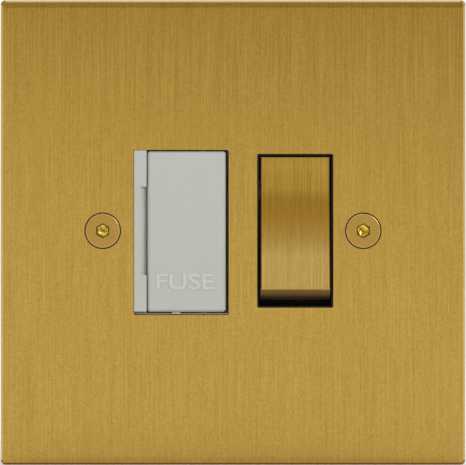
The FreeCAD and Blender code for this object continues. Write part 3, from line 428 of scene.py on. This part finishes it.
# The cartridge fuse is a ceramic tube with two nickel-plated caps pressed on its ends. It lies in
# the carrier's cradle and swings out with the door.
ceramic = moulded("ceramic", (0.66, 0.63, 0.56), (0.74, 0.71, 0.64), 0.62, 0.02)
finished("fuse_tube", ceramic)
nickel = metal("nickel_plate", (0.56, 0.54, 0.50), (0.68, 0.66, 0.61), 0.22)
for node in ("fuse_cap_upper", "fuse_cap_lower"):
    made(node.replace("fuse_cap", "cap"), ease(taken(node), 0.12, 3), "fuse_door",
         [nickel], replaced=[node])

# The rocker is a hollow brass cap on a black lever that swings on two trunnions. Its brushed face
# has two slopes that meet in a soft bend, and eases back a little above it. Its ends are plain pressed
# brass, and its narrow sides carry painted shade, as they look in the photograph.
end_brass = Finish("pressed_brass", Metallic=1.0)
marks = end_brass.noise(1900, 500)
end_brass.wear(Base_Color=end_brass.between(marks, (0.47, 0.32, 0.12), (0.58, 0.41, 0.18)),
               Roughness=0.5 + marks * 0.15)
end_brass.bump(marks, 0.01)
rocker_brass = brushed("rocker_brass", (0.488, 0.304, 0.042), (0.705, 0.457, 0.088), 0.17, 1.35, 1.4)
cap = ease(taken("rocker_cap"), 0.06, 2, 24)
EASE_FOOT, EASE_HEAD, EASE_DEEP = 4, 15, 0.07
for height in range(EASE_FOOT, EASE_HEAD + 1):
    bmesh.ops.bisect_plane(cap, geom=cap.verts[:] + cap.edges[:] + cap.faces[:],
                           plane_co=(0, 0, height * MM), plane_no=(0, 0, 1))
for vert in cap.verts:
    rise = min(1, max(0, (vert.co.z / MM - EASE_FOOT) / (EASE_HEAD - EASE_FOOT)))
    vert.co.y += EASE_DEEP * MM * rise ** 2 * (3 - 2 * rise)
TOP, END, SIDE = range(3)
END_LEAN, SIDE_LEAN = 0.75, 0.2


def cap_face(at, way):
    """Which finish a face of the cap has, by its normal."""
    # The narrow sides carry painted shade.
    if abs(way.x) > SIDE_LEAN:
        return SIDE
    return END if abs(way.z) > END_LEAN else TOP


made("rocker_top", cap, "rocker", [rocker_brass, end_brass, painted_shade_brass],
     cap_face, ["rocker_cap"])
made("lever", ease(taken("rocker_lever"), 0.1), "rocker", [black],
     replaced=["rocker_lever"])

# Two nylon plungers on wire springs sit in the lever's tubes. They push the contact arms over when
# the lever swings.
nylon = moulded("white_nylon", (0.72, 0.70, 0.63), (0.80, 0.78, 0.72), 0.40)
for pole in ("live", "neutral"):
    finished(f"{pole}_plunger", nylon)
    finished(f"{pole}_spring", spring_steel)

# The switch works: pressed brass arms that rock on brackets, their strips, and silver contacts.
# The fuse's caps are gripped by two plated clips, and a brass bar earths the plate.
pressed = metal("brass_parts", (0.58, 0.38, 0.12), (0.70, 0.48, 0.18), 0.28)
silver = metal("silver", (0.66, 0.65, 0.63), (0.80, 0.79, 0.77), 0.25)
for pole in ("live", "neutral"):
    for part in ("contact_arm", "pivot_bracket", "contact_strip"):
        finished(f"{pole}_{part}", pressed)
    finished(f"{pole}_arm_tip", silver)
finished("fixed_contact_tips", silver)
finished("earth_bar", pressed)
for node in ("upper_fuse_clip", "lower_fuse_clip"):
    finished(node, nickel)

# Six terminals sit in chambers of the rear moulding. Each is a sawn brass block with a bore for the
# cable and a slotted grub screw that clamps it.
for side in ("supply", "load"):
    for pole in ("live", "neutral", "earth"):
        made(f"{side}_{pole}_block", ease(taken(f"{side}_{pole}_terminal"), 0.1), "base",
             [pressed], replaced=[f"{side}_{pole}_terminal"])
finished("terminal_screws", pressed)

# The rear moulding is black and closes the works. Two slotted zinc-plated screws draw it on the
# front one.
made("rear_cover", ease(taken("rear_housing"), 0.12), "base", [black],
     replaced=["rear_housing"])
zinc = metal("zinc_steel", (0.48, 0.49, 0.50), (0.62, 0.63, 0.64), 0.30)
made("cover_screws", ease(taken("housing_screws"), 0.1), "base", [zinc],
     replaced=["housing_screws"])

# The plain pale floor is a sheet of paper that the plate stands on. It reaches far enough, in
# metres, to fill the view.
FLOOR_REACH = 4
paper = Finish("floor_paper", Roughness=0.9)
paper.wear(Base_Color=paper.between(paper.noise(30), (0.86, 0.86, 0.83), (0.90, 0.90, 0.87)))
sheet = bmesh.new()
bmesh.ops.create_grid(sheet, x_segments=1, y_segments=1, size=FLOOR_REACH)
for vert in sheet.verts:
    vert.co.z = MM * (PLATE_MIDDLE - PLATE_HALF)
floor = bpy.data.objects.new("floor", bpy.data.meshes.new("floor"))
sheet.to_mesh(floor.data)
sheet.free()
floor.data.materials.append(paper.material)
bpy.context.scene.collection.objects.link(floor)

# The studio is a pale room, white behind the unit and a little greyer low down, so that the floor
# ends softly. In front, the wall that the brass mirrors is darker from just above eye level, and
# light again higher up, where the lamps hang.
world = bpy.data.worlds.new("studio")
world.use_nodes = True
bpy.context.scene.world = world
studio = Tree(world.node_tree)
studio.tree.nodes.clear()
direction = studio.node("ShaderNodeTexCoord", output=0)
sideways, inward, upward = [studio.node("ShaderNodeSeparateXYZ", inputs={0: direction}, output=k)
                            for k in range(3)]
height = upward * 0.5 + 0.5
room = studio.node("ShaderNodeValToRGB", {"stops": [
    (0.000, (0.95, 0.95, 0.95)),
    (0.430, (1.10, 1.10, 1.12)),
    (0.484, (1.05, 1.06, 1.12)),
    (0.508, (1.06, 1.05, 1.03)),
    (0.514, (1.01, 0.98, 0.92)),
    (0.521, (0.79, 0.74, 0.63)),
    (0.532, (0.40, 0.34, 0.19)),
    (0.640, (0.54, 0.44, 0.28)),
    (0.690, (0.58, 0.54, 0.48)),
    (0.742, (0.67, 0.66, 0.88)),
    (0.790, (0.88, 0.89, 1.32)),
    (0.883, (0.89, 0.89, 1.10)),
    (1.000, (0.85, 0.85, 0.86)),
]}, {0: height})
sides = studio.node("ShaderNodeValToRGB", {"stops": [
    (0.000, (1.22, 1.22, 1.22)),
    (0.250, (1.16, 1.16, 1.16)),
    (0.400, (1.10, 1.10, 1.11)),
    (0.470, (1.06, 1.06, 1.06)),
    (0.530, (0.96, 0.96, 0.95)),
    (0.600, (0.94, 0.94, 0.93)),
    (0.750, (0.96, 0.96, 0.95)),
    (1.000, (1.15, 1.15, 1.15)),
]}, {0: sideways * 0.5 + 0.5})
front = studio.node("ShaderNodeMix", {"data_type": "RGBA", "blend_type": "MULTIPLY"}, {
    0: 1.0, 6: room, 7: sides}, output=2)
behind = studio.node("ShaderNodeValToRGB", {"stops": [
    (0.500, (0.82, 0.82, 0.84)),
    (0.520, (0.86, 0.86, 0.87)),
    (0.580, (1.00, 1.00, 1.00)),
]}, {0: height})
TURN = 8.0
whole = studio.node("ShaderNodeMix", {"data_type": "RGBA", "clamp_factor": True}, {
    0: inward * TURN, 6: front, 7: behind}, output=2)
glow = studio.node("ShaderNodeBackground", inputs={"Color": whole, "Strength": 1.0})
studio.node("ShaderNodeOutputWorld", inputs={0: glow})

LAMP_PLACE, LAMP_SIZE, LAMP_WATTS = (1.32, -1.12, 1.0), 0.9, 12
lamp = bpy.data.objects.new("soft_lamp", bpy.data.lights.new("soft_lamp", "AREA"))
lamp.data.size = LAMP_SIZE
lamp.data.energy = LAMP_WATTS
lamp.location = LAMP_PLACE
lamp.rotation_euler = (-lamp.location).to_track_quat("-Z", "Y").to_euler()
bpy.context.scene.collection.objects.link(lamp)

# The camera looks straight at the middle of the plate through a long lens. Its picture is as many
# millimetres wide at the plate as FRAME says, and it stands DISTANCE metres away.
FRAME = 107.84
DISTANCE = 0.9
camera = bpy.data.objects.new("camera", bpy.data.cameras.new("camera"))
camera.data.lens = camera.data.sensor_width * DISTANCE / (FRAME * MM)
camera.data.clip_start = 0.01
camera.location = (0, PLATE_FRONT * MM - DISTANCE, PLATE_MIDDLE * MM)
camera.rotation_euler = (math.radians(90), 0, 0)
bpy.context.scene.collection.objects.link(camera)
bpy.context.scene.camera = camera
bpy.context.scene.view_settings.view_transform = "Standard"
